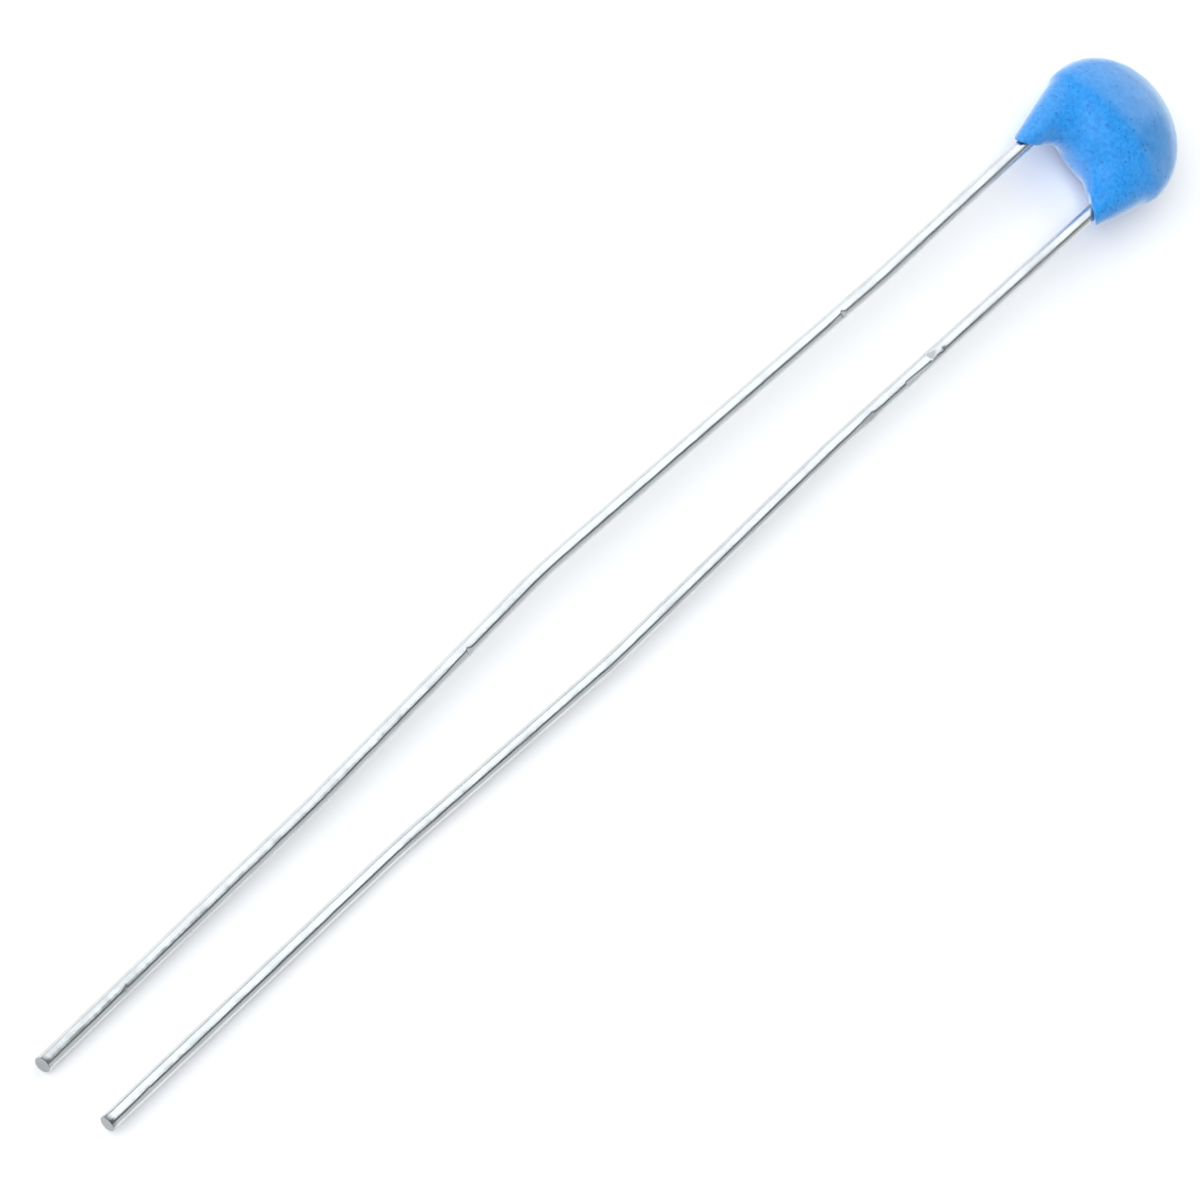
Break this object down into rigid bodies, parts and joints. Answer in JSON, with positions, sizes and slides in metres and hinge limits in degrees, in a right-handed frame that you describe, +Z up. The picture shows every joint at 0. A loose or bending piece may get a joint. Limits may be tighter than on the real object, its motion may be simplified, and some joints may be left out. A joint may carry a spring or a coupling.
{
  "type": "ceramic disc capacitor",
  "caption": "Small dipped ceramic disc capacitor: a crowned blue epoxy body on long, slightly bent tinned wire leads, lying flat.",
  "frame": {"origin": "on the table under the middle of the whole length, midway across the body", "axes": "+X along the leads from their tips to the body, +Z up from the table, +Y across the body towards the front lead"},
  "size_m": [0.0432, 0.0042, 0.0025],
  "materials": {
    "epoxy": "satin dipped epoxy, bright blue",
    "ceramic": "fired titanate, tan",
    "silver": "fired silver, matte",
    "solder": "tin solder, satin",
    "tinned_wire": "bright tinned wire"
  },
  "bodies": {
    "root": {"epoxy_coating": "epoxy", "ceramic_disc": "ceramic", "front_electrode": "silver", "back_electrode": "silver", "front_solder": "solder", "back_solder": "solder", "front_lead": "tinned_wire", "back_lead": "tinned_wire"}
  },
  "joints": []
}
